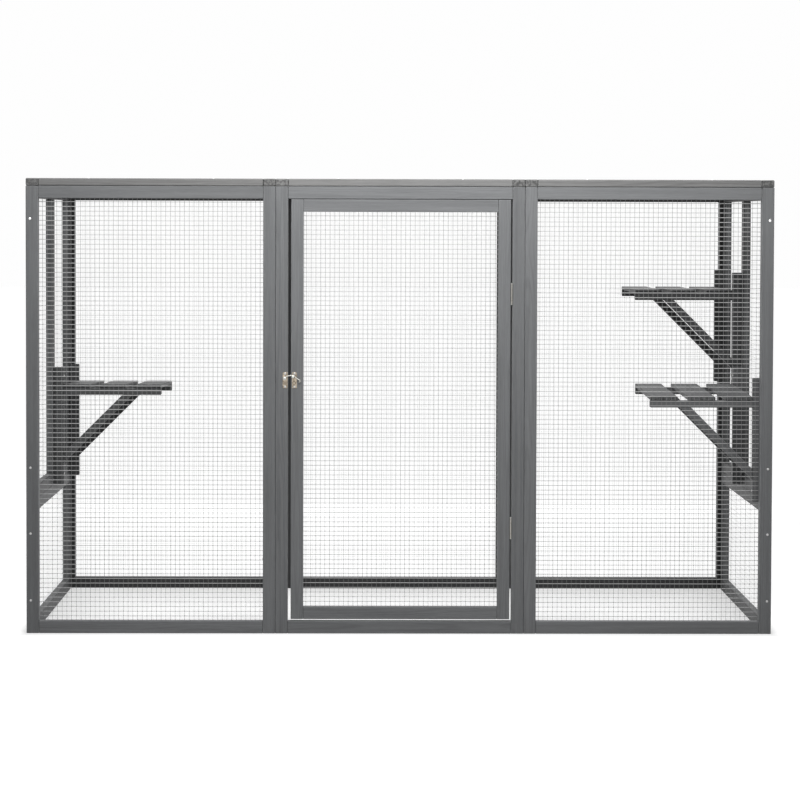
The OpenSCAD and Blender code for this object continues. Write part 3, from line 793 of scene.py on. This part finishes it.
# The head's rings from its seat to the foot of the recess: share of the radius, how much of it
# the ring loses between the arms of the cross, and share of the height.
HEAD_RINGS = [(1.0, 0, -0.25), (0.9, 0, -0.72), (0.62, 0, -1.0), (0.52, 0.62, -1.0), (0.2, 0.4, -0.3)]
UNDER_HEAD = 0.01
TURN_EACH = 1.3
# The screws high up get a painted highlight: their colour rises to 2.1 times between 1.4 and 1.5 m.
SCREW_HIGHLIGHT_HEIGHTS = (1.4, 1.5)
screw_zinc = zinc("zinc-plated screws", (0.38, 0.38, 0.38), (0.56, 0.56, 0.55), 0.42, 500.0)
paint_light_with_height(screw_zinc, SCREW_HIGHLIGHT_HEIGHTS, 1.0, 2.1)


def screw_shape(radius, height, shank, length):
    """A screw along +Z: its head lies below zero, with a cross-shaped recess."""
    mesh = bmesh.new()
    bmesh.ops.create_circle(mesh, segments=HEAD_SIDES, radius=radius)
    seat = mesh.edges[:]
    neck = shank / radius
    for rings in (HEAD_RINGS, [(neck, 0, UNDER_HEAD), (neck, 0, length / height)]):
        edges = seat
        for share, dip, level in rings:
            made = bmesh.ops.extrude_edge_only(mesh, edges=edges)["geom"]
            edges = [g for g in made if isinstance(g, bmesh.types.BMEdge)]
            for vert in (g for g in made if isinstance(g, bmesh.types.BMVert)):
                angle = math.atan2(vert.co.y, vert.co.x)
                in_arm = round(angle / (2 * math.pi / HEAD_SIDES)) % (HEAD_SIDES // 4) == 0
                far = radius * share * (1 if in_arm else 1 - dip)
                vert.co = (math.cos(angle) * far, math.sin(angle) * far, level * height)
    bmesh.ops.holes_fill(mesh, edges=[e for e in mesh.edges if e.is_boundary])
    return mesh


def screws(node, body="enclosure"):
    """Screws in the places of a CAD node's screws."""
    mesh = bmesh.new()
    for number, part in enumerate(parts_of(node)):
        low, high = box_of(part)
        axis = max(range(3), key=lambda i: high[i] - low[i])
        rims = []
        for end in (low, high):
            rim = [p for p in part if abs(p[axis] - end[axis]) < RIM_DEPTH]
            middle = sum(rim, Vector()) / len(rim)
            rims.append((max((p - middle).length for p in rim), middle))
        (shank, tip), (radius, top) = sorted(rims, key=lambda rim: rim[0])
        way = (tip - top).normalized()
        height = min(rise for rise in ((p - top).dot(way) for p in part) if rise > RIM_DEPTH)
        shape = screw_shape(radius, height, shank, (tip - top).length - height)
        turn = way.to_track_quat("Z", "Y").to_matrix().to_4x4() @ Matrix.Rotation(number * TURN_EACH, 4, "Z")
        bmesh.ops.transform(shape, matrix=Matrix.Translation(top + way * height) @ turn, verts=shape.verts)
        add_to(mesh, shape)
    finished(mesh, node + "_driven", screw_zinc, node, body)


screws("frame_screws")
screws("shelf_screws")
screws("frame_hardware_screws")
screws("door_hardware_screws", "door")

# Floor, light and camera. A pale floor runs out of sight. A wide soft lamp hangs before the front
# wall and above it, and weaker ones over the roof, behind and beside. The camera is at head height.
FLOOR_HALF_SIZE = 40
FLOOR_GREY = 0.6
# What the floor adds to the lamps' light where it is seen: everywhere, more towards the middle of
# the room, and more again outside the walls, in two rises from one distance to another. The lower
# glow inside the walls and along them is a painted shadow.
FLOOR_GLOW = 0.39
MIDDLE_GLOW = 0.28
MIDDLE_FROM_WALL = 0.5
MIDDLE_SPREAD = 0.6
GLOW_RISES = ((-0.03, 0.05, 0.4), (1.9, 2.7, 0.15))
# What it holds back in front of the middle, where the front lamp is near, and how far that
# reaches beyond the walls.
FRONT_GLOW = 0.17
FRONT_STARTS = (0.4, 0.6)
FRONT_ENDS = (0.5, 1.9)
WORLD_LIGHT = 0.05
WORLD_SEEN = 0.94


def seen_directly(tree):
    """1 for what the camera sees, also in metal or through glass, and 0 for light on things."""
    rays = node_in(tree, "ShaderNodeLightPath").outputs
    mirrored = maths(tree, "MAXIMUM", rays["Is Glossy Ray"], rays["Is Transmission Ray"])
    return maths(tree, "MAXIMUM", rays["Is Camera Ray"], mirrored)


floor_mesh = bmesh.new()
bmesh.ops.create_grid(floor_mesh, x_segments=1, y_segments=1, size=FLOOR_HALF_SIZE)
floor_data = bpy.data.meshes.new("floor")
floor_mesh.to_mesh(floor_data)
floor_mesh.free()
floor = bpy.data.objects.new("floor", floor_data)
bpy.context.scene.collection.objects.link(floor)
floor_paint = bpy.data.materials.new("pale floor")
floor_paint.use_nodes = True
floor_data.materials.append(floor_paint)
tree = floor_paint.node_tree
skin = tree.nodes["Principled BSDF"]
skin.inputs["Base Color"].default_value = (FLOOR_GREY, FLOOR_GREY, FLOOR_GREY, 1)
skin.inputs["Roughness"].default_value = 0.9
skin.inputs["Specular IOR Level"].default_value = 0.1
skin.inputs["Emission Color"].default_value = (1, 1, 1, 1)
here = here_in(tree)
beyond = maths(tree, "MAXIMUM", *(minus(tree, maths(tree, "ABSOLUTE", here[i]), cad_box[1][i])
                                  for i in range(2)))
deep_inside = maths(tree, "MULTIPLY", beyond, -1 / MIDDLE_FROM_WALL, clamp=True)
deep_inside = maths(tree, "POWER", deep_inside, MIDDLE_SPREAD)
glow = plus(tree, FLOOR_GLOW, times(tree, deep_inside, MIDDLE_GLOW))
for start, end, rise in GLOW_RISES:
    glow = plus(tree, glow, times(tree, ramp(tree, beyond, start, end), rise))
in_front = ramp(tree, times(tree, here["Y"], -1.0), *FRONT_STARTS)
near_front = times(tree, in_front, minus(tree, 1.0, ramp(tree, beyond, *FRONT_ENDS)))
glow = minus(tree, glow, times(tree, near_front, FRONT_GLOW))
tree.links.new(times(tree, seen_directly(tree), glow), skin.inputs["Emission Strength"])

world = bpy.data.worlds.new("studio")
bpy.context.scene.world = world
world.use_nodes = True
tree = world.node_tree
sky = tree.nodes["Background"]
sky.inputs["Color"].default_value = (1, 1, 1, 1)
tree.links.new(plus(tree, times(tree, seen_directly(tree), WORLD_SEEN), WORLD_LIGHT), sky.inputs["Strength"])


def soft_lamp(name, place, target, width, depth, power, glossy=True):
    """A rectangular soft lamp aimed at a point, with or without a reflection of its own."""
    lamp = bpy.data.lights.new(name, "AREA")
    lamp.shape = "RECTANGLE"
    lamp.size = width
    lamp.size_y = depth
    lamp.energy = power
    holder = bpy.data.objects.new(name, lamp)
    holder.location = place
    holder.rotation_euler = (Vector(target) - Vector(place)).to_track_quat("-Z", "Y").to_euler()
    holder.visible_camera = False
    holder.visible_glossy = glossy
    bpy.context.scene.collection.objects.link(holder)


soft_lamp("front lamp", (0, -2.1, 2.9), (0, -0.5, 1.2), 3.2, 0.9, 88)
soft_lamp("top lamp", (0, 0, 4.6), (0, 0, 0), 5.0, 3.0, 40)
soft_lamp("back lamp", (0, 3.2, 0.9), (0, 0.5, 0.9), 4.0, 1.2, 22, glossy=False)
for side in (-1, 1):
    soft_lamp("side lamp", (side * 4.2, 0, 0.9), (side * 1.5, 0, 0.9), 1.4, 1.2, 8, glossy=False)

IMAGE_WIDTH = 800
FOCAL_PIXELS = 1966.02
SHIFT_PIXELS = (13.871, -123.904)
SENSOR_WIDTH = 36
CAMERA_PLACE = (-0.1192, -8.372205, 1.66651)
YAW = 0.0079
PITCH = -0.0286
ROLL = 0.0029
camera_data = bpy.data.cameras.new("camera")
camera_data.sensor_width = SENSOR_WIDTH
camera_data.lens = FOCAL_PIXELS / IMAGE_WIDTH * SENSOR_WIDTH
camera_data.shift_x = SHIFT_PIXELS[0] / IMAGE_WIDTH
camera_data.shift_y = SHIFT_PIXELS[1] / IMAGE_WIDTH
camera = bpy.data.objects.new("camera", camera_data)
ahead = Vector((math.sin(YAW), math.cos(YAW), 0))
right = Vector((math.cos(YAW), -math.sin(YAW), 0))
up = Vector((0, 0, 1))
sight = ahead * math.cos(PITCH) + up * math.sin(PITCH)
rise = up * math.cos(PITCH) - ahead * math.sin(PITCH)
across = right * math.cos(ROLL) + rise * math.sin(ROLL)
rise = rise * math.cos(ROLL) - right * math.sin(ROLL)
camera_turn = Matrix((across, rise, -sight)).transposed().to_4x4()
camera.matrix_world = Matrix.Translation(CAMERA_PLACE) @ camera_turn
bpy.context.scene.collection.objects.link(camera)
bpy.context.scene.camera = camera
bpy.context.scene.view_settings.view_transform = "Standard"
